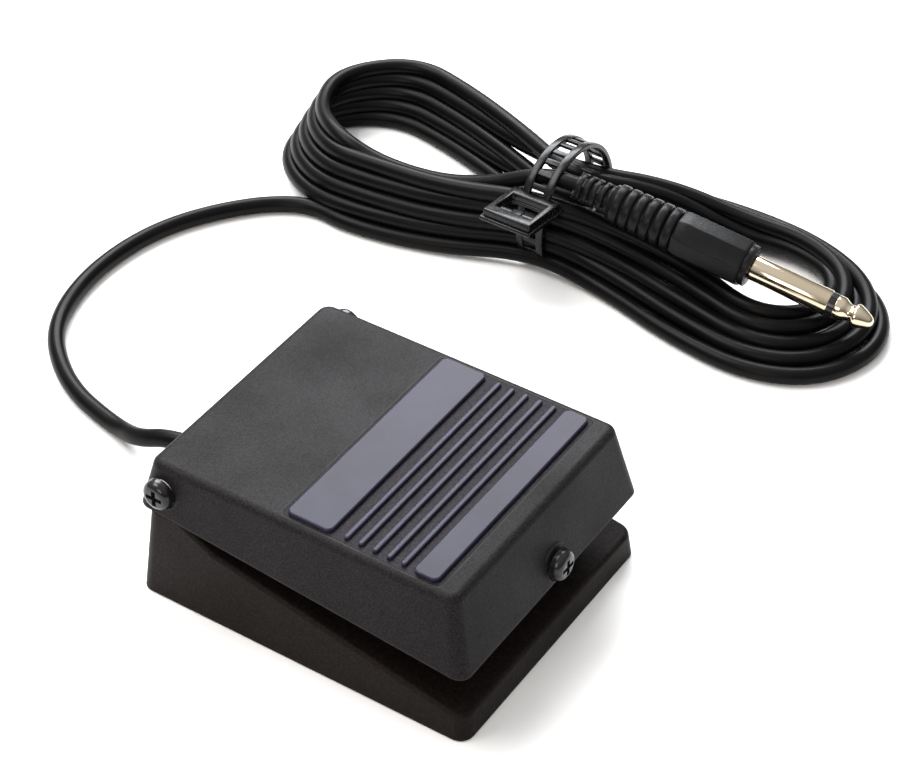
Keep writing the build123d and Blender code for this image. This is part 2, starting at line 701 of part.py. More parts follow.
lead_radii = corner_radii(lead_route)
print("corner radii of the cord:", [round(radius, 1) for radius in lead_radii])
with BuildPart() as cord_lead:
    with BuildLine() as lead_path:
        FilletPolyline(*lead_route, radius=lead_radii)
    with BuildSketch(Plane(origin=lead_path.line @ 0, z_dir=lead_path.line % 0)):
        Circle(cord_radius)
    sweep(path=lead_path.line)
lead_length = lead_path.wires()[0].length
print("cord lead:", round(lead_length, 1), "mm long,",
      round(cord_lead.part.volume, 1), "mm3, section times length",
      round(pi * cord_radius ** 2 * lead_length, 1))
cord_lead.part.label = "cord_lead"
export_step(cord_lead.part, "parts/cord_lead.step")

# the wound length, a flattened figure of eight that is narrow where the tie holds it
hank_outline = [
    (91, 71), (98, 44), (104, 30), (101, 2), (95, -30), (112, -55), (140, -44), (153, -14),
    (147, 20), (139, 36), (149, 70), (154, 96), (138, 118), (110, 107), (95, 93),
]
hank_top = 20.0
hank_slope = [(-57, 5.5), (-23, 9.6), (0, 12.6), (20, 17.4), (27, hank_top)]     # y and height
tie_span = (27.0, 34.5)       # y where the tie passes round
tie_wrap_gap = 0.7
# inside of the tie's loop, in X and Z, from the floor up the near side and over
tie_thickness = 1.3
tie_loop = [
    (108, tie_thickness), (134, tie_thickness), (137.5, 6), (136.6, 14), (131, 22.5),
    (122, 26.4), (112.5, 24.8), (106.5, 18.5), (105.2, 8),
]

head_size = (16.0, 14.3, 3.0)
head_window = (8.0, 10.0)
head_plane = Plane(origin=(101.0, sum(tie_span) / 2, 20.0), x_dir=(1, 0, -0.14), z_dir=(0.14, 0, 1))

plug_axis = plug_heading.normalized()
plug_across = Vector(-plug_heading.Y, plug_heading.X, 0).normalized()


def plug_plane(distance):
    """Plane across the plug at a distance along it from where the metal begins."""
    return Plane(origin=plug_start + plug_axis * distance, x_dir=plug_across, z_dir=plug_axis)


def plug_disc(start, end, radius):
    """Round stretch of the plug."""
    return rod(plug_plane(start), radius, end - start)


def loop_block(outset, spare):
    """Solid that fills the tie's loop, grown by outset, and longer than the tie by spare at each end."""
    with BuildPart() as block:
        with BuildSketch(cross_y(0, tie_span[1] + spare, 0)) as face:
            Polygon(*tie_loop, align=None)
            fillet(face.vertices(), 2.4)
            if outset:
                offset(amount=outset, kind=Kind.ARC)
        extrude(amount=tie_span[1] - tie_span[0] + 2 * spare)
    return block.part


boot_end = -47.0
cord_end = -43.0
with BuildPart() as cord_hank:
    with BuildSketch():
        with BuildLine():
            Spline(*hank_outline, periodic=True)
        make_face()
    extrude(amount=hank_top)
    removed = [(-90, hank_slope[0][1])] + hank_slope + [(27, 60), (-90, 60)]
    add(side_profile(removed, 200), mode=Mode.SUBTRACT)
    # the waist, under the tie
    with BuildSketch(Plane.XY.offset(-1)):
        with Locations((120, sum(tie_span) / 2)):
            Rectangle(80, tie_span[1] - tie_span[0] + 2 * tie_wrap_gap)
    extrude(amount=60, mode=Mode.SUBTRACT)
    add(loop_block(-0.05, tie_wrap_gap))
    # room for the tie's head
    with BuildSketch(head_plane.offset(-head_size[2])):
        Rectangle(head_size[0] + 1, head_size[1] + 1)
    extrude(amount=20, mode=Mode.SUBTRACT)
    # the tail that runs out of the waist into the plug
    add(plug_disc(boot_end - 3.8, cord_end, cord_radius))
cord_hank.part.label = "cord_hank"
export_step(cord_hank.part, "parts/cord_hank.step")

with BuildPart() as cable_tie:
    add(loop_block(tie_thickness, 0))
    with BuildSketch(head_plane):
        RectangleRounded(head_size[0], head_size[1], 1.5)
    extrude(amount=head_size[2] / 2, both=True)
    with BuildSketch(head_plane):
        RectangleRounded(head_window[0], head_window[1], 0.8)
    extrude(amount=5, both=True, mode=Mode.SUBTRACT)
    add(loop_block(0, 10), mode=Mode.SUBTRACT)
cable_tie.part.label = "cable_tie"
export_step(cable_tie.part, "parts/cable_tie.step")


# ---------------------------------------------------------------- plug

grip_rear = -20.0
grip_rings = 6
ring_end = -37.0
boot_rings = 5
core_radius = 2.2

with BuildPart() as plug_body:
    add(plug_disc(-1.5, 0, 5.2))
    with BuildSketch(plug_plane(grip_rear)):
        RegularPolygon(5.5, 8, major_radius=False, rotation=22.5)
    extrude(amount=-1.5 - grip_rear)
    add(plug_disc(ring_end - 1, grip_rear + 1, 4.3))
    ring_pitch = (grip_rear - ring_end) / grip_rings
    for ring in range(grip_rings):
        start = grip_rear - (ring + 1) * ring_pitch
        add(plug_disc(start + 0.35, start + ring_pitch, 5.45 - 0.09 * ring))
    add(plug_disc(boot_end, ring_end, 2.8))
    boot_pitch = (ring_end - boot_end) / boot_rings
    for ring in range(boot_rings):
        start = ring_end - (ring + 1) * boot_pitch
        add(plug_disc(start, start + boot_pitch - 0.5, 3.85 - 0.08 * ring))
    add(plug_disc(-10, 1, core_radius), mode=Mode.SUBTRACT)
    add(plug_disc(boot_end - 1, cord_end, cord_radius + cord_gap), mode=Mode.SUBTRACT)
plug_body.part.label = "plug_body"
export_step(plug_body.part, "parts/plug_body.step")

with BuildPart() as plug_sleeve:
    add(plug_disc(-10, 1, core_radius - 0.02))
    add(plug_disc(0, sleeve_end, plug_radius))
    add(plug_disc(sleeve_end - 8, sleeve_end, 1.62), mode=Mode.SUBTRACT)
plug_sleeve.part.label = "plug_sleeve"
export_step(plug_sleeve.part, "parts/plug_sleeve.step")

with BuildPart() as plug_insulator:
    add(tube(plug_plane(sleeve_end), 2.95, 1.62, insulator_end - sleeve_end))
plug_insulator.part.label = "plug_insulator"
export_step(plug_insulator.part, "parts/plug_insulator.step")

# tip: a shoulder, a waist that the jack's spring drops into, and a rounded nose
tip_profile = [
    (0, sleeve_end - 8), (1.6, sleeve_end - 8), (1.6, insulator_end), (2.95, insulator_end),
    (2.95, 24.0), (2.0, 25.1), (2.0, 26.0), (2.95, 26.9), (2.8, 27.8), (1.3, 31.0), (0, plug_length),
]
with BuildPart() as plug_tip:
    with BuildSketch(Plane(origin=plug_start, x_dir=plug_across, z_dir=plug_plane(0).y_dir)):
        Polygon(*[(radius, -along) for radius, along in tip_profile], align=None)
    revolve(axis=Axis(plug_start, plug_axis))
plug_tip.part.label = "plug_tip"
export_step(plug_tip.part, "parts/plug_tip.step")
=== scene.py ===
import bpy
import bmesh
from math import cos, pi, radians, sin
from mathutils import Matrix, Vector


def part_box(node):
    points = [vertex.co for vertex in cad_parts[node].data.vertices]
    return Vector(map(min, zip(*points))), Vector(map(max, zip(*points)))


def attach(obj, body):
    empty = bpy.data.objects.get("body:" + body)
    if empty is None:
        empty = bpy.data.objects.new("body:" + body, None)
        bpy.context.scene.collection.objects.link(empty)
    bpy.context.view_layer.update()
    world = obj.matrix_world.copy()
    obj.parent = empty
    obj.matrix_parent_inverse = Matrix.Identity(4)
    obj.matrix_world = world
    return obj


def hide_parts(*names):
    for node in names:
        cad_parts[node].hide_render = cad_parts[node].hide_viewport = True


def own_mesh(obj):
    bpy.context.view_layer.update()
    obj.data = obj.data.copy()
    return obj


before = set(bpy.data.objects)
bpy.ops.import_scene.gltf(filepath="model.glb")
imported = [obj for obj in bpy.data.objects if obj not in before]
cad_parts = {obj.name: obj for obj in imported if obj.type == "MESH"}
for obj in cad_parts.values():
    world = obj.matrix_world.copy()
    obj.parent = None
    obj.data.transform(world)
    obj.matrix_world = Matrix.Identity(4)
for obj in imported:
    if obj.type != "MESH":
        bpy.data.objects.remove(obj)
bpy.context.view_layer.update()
mm = 0.001
print("frame loaded:", len(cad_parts), "nodes")


# camera

view = {
    "place": Vector((-0.3337, -0.2358, 0.4010)),
    "target": Vector((0.04179, 0.01219, 0.0150)),
    "lens": 106.1,
}


def makeCamera():
    data = bpy.data.cameras.new("viewCamera")
    data.lens = view["lens"]
    data.sensor_width = 36
    data.clip_start = 0.01
    camera = bpy.data.objects.new("viewCamera", data)
    bpy.context.scene.collection.objects.link(camera)
    camera.location = view["place"]
    camera.rotation_euler = (view["target"] - view["place"]).to_track_quat("-Z", "Y").to_euler()
    bpy.context.scene.camera = camera


makeCamera()
print("camera placed")


# mesh helpers

def newPiece(name, mesh, material, body="base"):
    piece = bpy.data.objects.new(name, mesh)
    bpy.context.scene.collection.objects.link(piece)
    mesh.materials.append(material)
    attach(piece, body)
    return piece


def meshFrom(build, smooth=True):
    mesh = bpy.data.meshes.new("mesh")
    bmesh.ops.recalc_face_normals(build, faces=build.faces)
    build.to_mesh(mesh)
    build.free()
    if smooth:
        for face in mesh.polygons:
            face.use_smooth = True
    return mesh


def softenEdges(piece, width, segments, sharpest):
    # rounded edges, in millimetres, where two faces meet at more than so many degrees
    bevel = piece.modifiers.new("bevel", "BEVEL")
    bevel.width = width * mm
    bevel.segments = segments
    bevel.limit_method = "ANGLE"
    bevel.angle_limit = radians(sharpest)


def latheInto(build, profile, place, steps=48):
    # turn a list of (radius, along) round the local Z axis and put it through a matrix
    rings = []
    for radius, along in profile:
        if radius < 1e-7:
            rings.append([build.verts.new(place @ Vector((0, 0, along)))])
            continue
        ring = []
        for step in range(steps):
            turn = 2 * pi * step / steps
            spot = Vector((radius * cos(turn), radius * sin(turn), along))
            ring.append(build.verts.new(place @ spot))
        rings.append(ring)
    for low, high in zip(rings, rings[1:]):
        for step in range(steps):
            following = (step + 1) % steps
            if len(low) == 1 and len(high) == 1:
                continue
            if len(low) == 1:
                build.faces.new((low[0], high[step], high[following]))
            elif len(high) == 1:
                build.faces.new((low[step], low[following], high[0]))
            else:
                build.faces.new((low[step], low[following], high[following], high[step]))
    for ends in (rings[0], rings[-1]):
        if len(ends) > 1:
            build.faces.new(ends)


# material helpers

def nodeMaterial(name):
    material = bpy.data.materials.new(name)
    material.use_nodes = True
    tree = material.node_tree
    shader = tree.nodes["Principled BSDF"]
    return material, tree, shader


def addNode(tree, kind, **sockets):
    node = tree.nodes.new(kind)
    for key, value in sockets.items():
        node.inputs[key.replace("_", " ")].default_value = value
    return node


def objectCoords(tree, scale=(1, 1, 1)):
    coords = tree.nodes.new("ShaderNodeTexCoord")
    mapping = tree.nodes.new("ShaderNodeMapping")
    mapping.inputs["Scale"].default_value = scale
    tree.links.new(coords.outputs["Object"], mapping.inputs["Vector"])
    return mapping.outputs["Vector"]


def noise(tree, vector, scale, detail=4.0, roughness=0.55):
    node = addNode(tree, "ShaderNodeTexNoise", Scale=scale, Detail=detail, Roughness=roughness)
    tree.links.new(vector, node.inputs["Vector"])
    return node.outputs["Fac"]


def mapRange(tree, value, low, high, toLow, toHigh):
    node = tree.nodes.new("ShaderNodeMapRange")
    limits = {"From Min": low, "From Max": high, "To Min": toLow, "To Max": toHigh}
    for key, number in limits.items():
        node.inputs[key].default_value = number
    tree.links.new(value, node.inputs["Value"])
    return node.outputs["Result"]


def mixColour(tree, factor, first, second):
    node = tree.nodes.new("ShaderNodeMix")
    node.data_type = "RGBA"
    tree.links.new(factor, node.inputs["Factor"])
    firstColour, secondColour = node.inputs[6], node.inputs[7]
    for socket, colour in ((firstColour, first), (secondColour, second)):
        if hasattr(colour, "links"):
            tree.links.new(colour, socket)
        else:
            socket.default_value = (*colour, 1)
    return node.outputs[2]


def addBump(tree, shader, heights, distance):
    # heights are (value, strength) pairs, chained one after another
    last = None
    for value, strength in heights:
        bump = addNode(tree, "ShaderNodeBump", Strength=strength, Distance=distance)
        tree.links.new(value, bump.inputs["Height"])
        if last:
            tree.links.new(last, bump.inputs["Normal"])
        last = bump.outputs["Normal"]
    tree.links.new(last, shader.inputs["Normal"])


def edgeWearAndHighlight(tree, vector, reach=0.0008):
    # rubbed edges with painted edge highlights: where a rounded normal leaves the real one, broken up by noise
    rounded = tree.nodes.new("ShaderNodeBevel")
    rounded.samples = 4
    rounded.inputs["Radius"].default_value = reach
    geometry = tree.nodes.new("ShaderNodeNewGeometry")
    likeness = tree.nodes.new("ShaderNodeVectorMath")
    likeness.operation = "DOT_PRODUCT"
    tree.links.new(rounded.outputs["Normal"], likeness.inputs[0])
    tree.links.new(geometry.outputs["Normal"], likeness.inputs[1])
    edges = mapRange(tree, likeness.outputs["Value"], 0.985, 0.8, 0, 1)
    patches = mapRange(tree, noise(tree, vector, 180, 3), 0.35, 0.7, 0.25, 1)
    product = tree.nodes.new("ShaderNodeMath")
    product.operation = "MULTIPLY"
    product.use_clamp = True
    tree.links.new(edges, product.inputs[0])
    tree.links.new(patches, product.inputs[1])
    return product.outputs["Value"]


paint = {
    "rough": (0.42, 0.56),
    "ior": 1.15,
    "bumpDepth": 0.00012,
}


def texturedPaint(name, dark, light, wearAndHighlight, grain=2600, grainStrength=0.35):
    # fine grain, cloudy tone, and edges lightened by wear and painted highlights
    material, tree, shader = nodeMaterial(name)
    vector = objectCoords(tree)
    speckle = noise(tree, vector, grain, 2, 0.6)
    cloud = noise(tree, vector, 45, 5)
    tone = mixColour(tree, mapRange(tree, speckle, 0.35, 0.68, 0, 1), dark, light)
    cloudy = mixColour(tree, mapRange(tree, cloud, 0.3, 0.75, 0, 0.35), tone, [c * 0.72 for c in dark])
    finished = mixColour(tree, edgeWearAndHighlight(tree, vector), cloudy, wearAndHighlight)
    tree.links.new(finished, shader.inputs["Base Color"])
    tree.links.new(mapRange(tree, cloud, 0.3, 0.7, *paint["rough"]), shader.inputs["Roughness"])
    shader.inputs["IOR"].default_value = paint["ior"]
    swell = noise(tree, vector, 700, 3)
    addBump(tree, shader, [(speckle, grainStrength), (swell, 0.12)], paint["bumpDepth"])
    return material


def mouldedRubber(name, dark, light, rough=(0.4, 0.55), grain=1800, specular=0.2, bump=0.2):
    material, tree, shader = nodeMaterial(name)
    vector = objectCoords(tree)
    fine = noise(tree, vector, grain, 3)
    cloud = noise(tree, vector, 60, 4)
    tone = mixColour(tree, mapRange(tree, cloud, 0.3, 0.7, 0, 1), dark, light)
    # edges lightened by wear and painted highlights
    finished = mixColour(tree, edgeWearAndHighlight(tree, vector, 0.0005), tone, [c * 1.7 + 0.01 for c in light])
    tree.links.new(finished, shader.inputs["Base Color"])
    tree.links.new(mapRange(tree, fine, 0.3, 0.7, rough[0], rough[1]), shader.inputs["Roughness"])
    shader.inputs["Specular IOR Level"].default_value = specular
    addBump(tree, shader, [(fine, bump), (cloud, 0.05)], 0.0001)
    return material


def platedMetal(name, colour, tint, rough=(0.12, 0.24), scratches=0.08, scale=(1, 1, 1)):
    material, tree, shader = nodeMaterial(name)
    vector = objectCoords(tree, scale)
    cloud = noise(tree, vector, 90, 5)
    fine = noise(tree, vector, 1500, 3)
    tone = mixColour(tree, mapRange(tree, cloud, 0.3, 0.7, 0, 1), colour, tint)
    tree.links.new(tone, shader.inputs["Base Color"])
    shader.inputs["Metallic"].default_value = 1
    tree.links.new(mapRange(tree, cloud, 0.3, 0.7, rough[0], rough[1]), shader.inputs["Roughness"])
    addBump(tree, shader, [(fine, scratches)], 0.00005)
    return material


def blackOxide(name):
    # glossy blackened steel with edges lightened by wear and painted highlights
    material, tree, shader = nodeMaterial(name)
    vector = objectCoords(tree)
    cloud = noise(tree, vector, 240, 4)
    fine = noise(tree, vector, 2200, 3)
    clouded = mapRange(tree, cloud, 0.3, 0.7, 0, 1)
    tone = mixColour(tree, clouded, (0.006, 0.006, 0.007), (0.016, 0.015, 0.016))
    finished = mixColour(tree, edgeWearAndHighlight(tree, vector, 0.0002), tone, (0.05, 0.047, 0.045))
    tree.links.new(finished, shader.inputs["Base Color"])
    shader.inputs["IOR"].default_value = 1.3
    shader.inputs["Coat Weight"].default_value = 0.2
    shader.inputs["Coat Roughness"].default_value = 0.12
    tree.links.new(mapRange(tree, cloud, 0.3, 0.7, 0.16, 0.3), shader.inputs["Roughness"])
    addBump(tree, shader, [(fine, 0.06)], 0.00005)
    return material


tread = {
    "bandHeight": 0.9,
    # heights above the sheet over which the finish changes
    "change": (0.1, 0.45),
    "bandDark": (0.016, 0.014, 0.028),
    "bandLight": (0.025, 0.023, 0.043),
    "sheetDark": (0.006, 0.0052, 0.007),
    "sheetLight": (0.024, 0.021, 0.026),
    # colour of rib and band edges: worn rubber and painted highlights
    "wearAndHighlight": (0.16, 0.155, 0.18),
    "rough": (0.6, 0.28),
    "bump": (0.45, 0.1),
}


def treadRubber(name):
    # smooth bands and ribs; the sheet between them is duller and grained
    material, tree, shader = nodeMaterial(name)
    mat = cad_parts["tread_mat"]
    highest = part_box("tread_mat")[1][2]
    sheetTop = (mat.matrix_world.inverted() @ Vector((0, 0, highest - tread["bandHeight"] * mm))).z
    low, high = (sheetTop + step * mm for step in tread["change"])
    vector = objectCoords(tree)
    split = tree.nodes.new("ShaderNodeSeparateXYZ")
    tree.links.new(vector, split.inputs["Vector"])
    raised = mapRange(tree, split.outputs["Z"], low, high, 0, 1)
    fine = noise(tree, vector, 2400, 3)
    cloud = noise(tree, vector, 70, 4)
    clouded = mapRange(tree, cloud, 0.3, 0.7, 0, 1)
    speckled = mapRange(tree, fine, 0.35, 0.65, 0, 1)
    smooth = mixColour(tree, clouded, tread["bandDark"], tread["bandLight"])
    grained = mixColour(tree, speckled, tread["sheetDark"], tread["sheetLight"])
    # band and rib edges lightened by wear and painted highlights
    wearAndHighlight = mixColour(tree, edgeWearAndHighlight(tree, vector, 0.0005), smooth, tread["wearAndHighlight"])
    tree.links.new(mixColour(tree, raised, grained, wearAndHighlight), shader.inputs["Base Color"])
    tree.links.new(mapRange(tree, raised, 0, 1, *tread["rough"]), shader.inputs["Roughness"])
    shader.inputs["IOR"].default_value = 1.19
    bump = addNode(tree, "ShaderNodeBump", Distance=0.00012)
    tree.links.new(mapRange(tree, raised, 0, 1, *tread["bump"]), bump.inputs["Strength"])
    tree.links.new(fine, bump.inputs["Height"])
    tree.links.new(bump.outputs["Normal"], shader.inputs["Normal"])
    return material


def cordJacket(name):
    # satin jacket with a fine grain and duller patches where it is handled
    material, tree, shader = nodeMaterial(name)
    vector = objectCoords(tree)
    cloud = noise(tree, vector, 75, 4)
    fine = noise(tree, vector, 1300, 3)
    clouded = mapRange(tree, cloud, 0.3, 0.7, 0, 1)
    tone = mixColour(tree, clouded, (0.0018, 0.0016, 0.0017), (0.0036, 0.0033, 0.0034))
    tree.links.new(tone, shader.inputs["Base Color"])
    tree.links.new(mapRange(tree, cloud, 0.25, 0.75, 0.30, 0.42), shader.inputs["Roughness"])
    shader.inputs["IOR"].default_value = 1.18
    addBump(tree, shader, [(fine, 0.08), (noise(tree, vector, 260, 3), 0.05)], 0.00008)
    return material


def plainPlastic(name, colour, rough=(0.3, 0.42), bump=0.08, specular=0.4):
    return mouldedRubber(name, [c * 0.85 for c in colour], colour, rough, 1100, specular, bump)


materials = {
    "cover": texturedPaint(
        "coverPaint", (0.0075, 0.0067, 0.0068), (0.0225, 0.0207, 0.0218), (0.06, 0.057, 0.055)),
    "base": texturedPaint(
        "basePaint", (0.0062, 0.0045, 0.0039), (0.0140, 0.0104, 0.0092), (0.045, 0.04, 0.036),
        1500, 0.5),
    "tread": treadRubber("treadRubber"),
    "foot": mouldedRubber(
        "footRubber", (0.014, 0.014, 0.015), (0.024, 0.024, 0.025), (0.6, 0.8), 900, 0.2, 0.5),
    "bumper": mouldedRubber("bumperRubber", (0.012, 0.012, 0.013), (0.02, 0.02, 0.02), (0.5, 0.65)),
    "screws": blackOxide("blackScrews"),
    "zinc": platedMetal(
        "zincSheet", (0.52, 0.52, 0.50), (0.42, 0.42, 0.41), (0.28, 0.42), 0.15, (1, 4, 1)),
    "zincScrews": platedMetal("zincScrews", (0.55, 0.55, 0.53), (0.46, 0.46, 0.45), (0.2, 0.34)),
    "spring": platedMetal("springSteel", (0.30, 0.30, 0.31), (0.22, 0.22, 0.23), (0.22, 0.36), 0.12),
    "strip": platedMetal("contactStrip", (0.50, 0.49, 0.47), (0.42, 0.41, 0.40), (0.2, 0.3)),
    "brass": platedMetal("terminalBrass", (0.62, 0.48, 0.22), (0.55, 0.52, 0.42), (0.2, 0.35)),
    "nickel": platedMetal("plugNickel", (0.64, 0.545, 0.41), (0.56, 0.47, 0.34), (0.08, 0.15), 0.03),
    "nylon": plainPlastic("nylonParts", (0.62, 0.60, 0.54), (0.35, 0.5)),
    "switchCase": plainPlastic("switchCase", (0.022, 0.022, 0.025), (0.4, 0.55), 0.2),
    "switchButton": plainPlastic("switchButton", (0.36, 0.03, 0.025)),
    "clamp": plainPlastic("clampPlastic", (0.03, 0.03, 0.03)),
    "wireWhite": plainPlastic("wireWhite", (0.62, 0.61, 0.58), (0.22, 0.3)),
    "wireRed": plainPlastic("wireRed", (0.42, 0.025, 0.02), (0.22, 0.3)),
    "relief": plainPlastic("reliefRubber", (0.004, 0.004, 0.0042), (0.38, 0.5), 0.1, 0.2),
    "cord": cordJacket("cordJacket"),
    "tie": plainPlastic("tiePlastic", (0.0035, 0.0033, 0.0035), (0.2, 0.32), 0.12, 0.22),
    "plug": mouldedRubber(
        "plugPlastic", (0.0026, 0.0026, 0.0028), (0.0056, 0.0056, 0.006), (0.3, 0.42), 1900, 0.13, 0.4),
    "plugRing": plainPlastic("plugRing", (0.008, 0.008, 0.009), (0.15, 0.25)),
}

nodeFinish = {
    "base_housing": "base", "bottom_plate": "zinc", "bottom_plate_screws": "zincScrews",
    "non_slip_sheet": "foot", "pedal_cover": "cover", "tread_mat": "tread",
    "pivot_screw_left": "screws", "pivot_screw_right": "screws", "front_screw": "screws",
    "pivot_bush_left": "nylon", "pivot_bush_right": "nylon", "stop_sleeve": "nylon",
    "front_nut": "zincScrews", "guide_bracket": "zinc", "guide_bracket_screws": "zincScrews",
    "down_stop_bumpers": "bumper", "return_spring": "spring", "switch_body": "switchCase",
    "switch_lever": "strip", "switch_button": "switchButton", "switch_terminals": "brass",
    "switch_bracket": "zinc", "switch_screws": "zincScrews", "switch_bracket_screws": "zincScrews",
    "cord_grommet": "relief", "cord_inside": "cord", "cord_clamp": "clamp",
    "cord_clamp_screws": "zincScrews", "wire_common": "wireWhite", "wire_make": "wireRed",
    "cord_lead": "cord", "cord_hank": "cord", "cable_tie": "tie", "plug_body": "plug",
    "plug_sleeve": "nickel", "plug_insulator": "plugRing", "plug_tip": "nickel",
}


def finishNodes():
    for node, finish in nodeFinish.items():
        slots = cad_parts[node].material_slots
        if not slots:
            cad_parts[node].data.materials.append(materials[finish])
        for index in range(len(slots)):
            slots[index].material = materials[finish]


finishNodes()
print("CAD nodes finished")


# plug: the moulded grip, its rings and the boot, in one frame along its axis

plug = {
    "start": Vector((117.6, -23.2, 15.4)) * mm,
    "axis": Vector((2.4, -31.2, -5.0)).normalized(),
    "gripRear": -20.0,
    "ringEnd": -37.0,
    "bootEnd": -47.0,
    "rings": 6,
    "bootRings": 5,
    "flats": 8,
    "flatRadius": 5.5,
    # place along the axis and size of the grip's sections, drawn in a little at the rear
    "grip": [
        (-1.5, 0.93), (-1.8, 0.985), (-2.4, 1.0), (-16.8, 1.0), (-18.6, 0.985), (-19.6, 0.93),
        (-20.0, 0.84)],
    # radius and place along the axis
    "sleeve": [(0, -1), (3.0, -1), (3.0, 0.1), (3.17, 0.3), (3.172, 20.0), (3.05, 20.28), (0, 20.3)],
    "tip": [
        (0, 21.8), (2.75, 21.82), (2.95, 22.0), (2.95, 23.3), (2.85, 23.75), (2.45, 24.4), (2.12, 24.95),
        (2.02, 25.5), (2.12, 25.95), (2.5, 26.35), (2.86, 26.75), (2.95, 27.1), (2.9, 27.5), (2.6, 28.3),
        (2.15, 29.3), (1.65, 30.3), (1.2, 31.0), (0.75, 31.35), (0.35, 31.47), (0, 31.5)],
}


def plugMatrix():
    along = plug["axis"]
    across = Vector((-along.y, along.x, 0)).normalized()
    upward = along.cross(across)
    turned = Matrix((across, upward, along)).transposed().to_4x4()
    return Matrix.Translation(plug["start"]) @ turned @ Matrix.Scale(mm, 4)


def roundedDisc(radius, low, high, edge):
    # half outline of a disc with rounded rims, from its hub out and back
    points = [(0, low)]
    for step in range(5):
        turn = pi / 2 * step / 4
        points.append((radius - edge + edge * sin(turn), low + edge - edge * cos(turn)))
    for step in range(5):
        turn = pi / 2 * step / 4
        points.append((radius - edge + edge * cos(turn), high - edge + edge * sin(turn)))
    return points + [(0, high)]


def makePlugGrip():
    place = plugMatrix()
    build = bmesh.new()
    latheInto(build, roundedDisc(5.15, -1.7, -0.1, 0.35), place)
    latheInto(build, roundedDisc(4.3, -1.0, 0.0, 0.1), place)
    # the flats
    radius = plug["flatRadius"] / cos(pi / plug["flats"])
    rings = []
    for along, size in plug["grip"]:
        ring = []
        for corner in range(plug["flats"]):
            turn = 2 * pi * (corner + 0.5) / plug["flats"]
            spot = Vector((radius * size * cos(turn), radius * size * sin(turn), along))
            ring.append(build.verts.new(place @ spot))
        rings.append(ring)
    for first, second in zip(rings, rings[1:]):
        for corner in range(plug["flats"]):
            following = (corner + 1) % plug["flats"]
            build.faces.new((first[corner], first[following], second[following], second[corner]))
    build.faces.new(rings[0])
    build.faces.new(rings[-1])
    mesh = meshFrom(build)
    piece = newPiece("plugGrip", mesh, materials["plug"], "base")
    softenEdges(piece, 0.22, 3, 32)
    return piece


def makePlugRings():
    place = plugMatrix()
    build = bmesh.new()
    pitch = (plug["gripRear"] - plug["ringEnd"]) / plug["rings"]
    for index in range(plug["rings"]):
        low = plug["gripRear"] - (index + 1) * pitch
        latheInto(build, roundedDisc(5.42 - 0.09 * index, low + 0.42, low + pitch - 0.02, 0.62), place)
    rear, front = plug["ringEnd"], plug["gripRear"]
    latheInto(build, [(0, rear - 0.6), (4.3, rear - 0.4), (4.3, front + 0.5), (0, front + 0.5)], place)
    return newPiece("plugRings", meshFrom(build), materials["plug"], "base")


def makePlugBoot():
    # ribs with a pair of links between neighbours, turned a quarter each time
    place = plugMatrix()
    build = bmesh.new()
    pitch = (plug["ringEnd"] - plug["bootEnd"]) / plug["bootRings"]
    for index in range(plug["bootRings"]):
        high = plug["ringEnd"] - index * pitch
        outer = 3.8 - 0.08 * index
        latheInto(build, roundedDisc(outer, high - pitch + 0.75, high - 0.05, 0.3), place)
        for side in (0, 1):
            turn = pi / 2 * (index % 2) + pi * side + 0.5
            link = Matrix.Rotation(turn, 4, "Z") @ Matrix.Translation((outer - 0.85, 0, high - pitch + 0.4))
            link = place @ link @ Matrix.Diagonal((1.3, 2.4, 1.1, 1))
            bmesh.ops.create_cube(build, size=1, matrix=link)
    latheInto(build, [(0, plug["bootEnd"]), (2.55, plug["bootEnd"]), (2.75, plug["ringEnd"] + 0.3),
                      (0, plug["ringEnd"] + 0.3)], place)
    piece = newPiece("plugBoot", meshFrom(build), materials["plug"], "base")
    softenEdges(piece, 0.12, 2, 50)
    return piece


def makePlugMetal():
    # sleeve and tip with the small radii that the CAD edges leave out
    place = plugMatrix()
    pieces = []
    for name, profile in (("plugSleeve", "sleeve"), ("plugTip", "tip")):
        build = bmesh.new()
        latheInto(build, plug[profile], place, 64)
        piece = newPiece(name, meshFrom(build), materials["nickel"], "base")
        softenEdges(piece, 0.05, 2, 40)
        pieces.append(piece)
    return pieces


plugGrip = makePlugGrip()
plugRings = makePlugRings()
plugBoot = makePlugBoot()
plugSleeve, plugTip = makePlugMetal()
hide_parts("plug_body")
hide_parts("plug_sleeve")
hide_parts("plug_tip")
print("plug made")


# cord: the lead from the strain relief, five turns, and the tail up into the plug

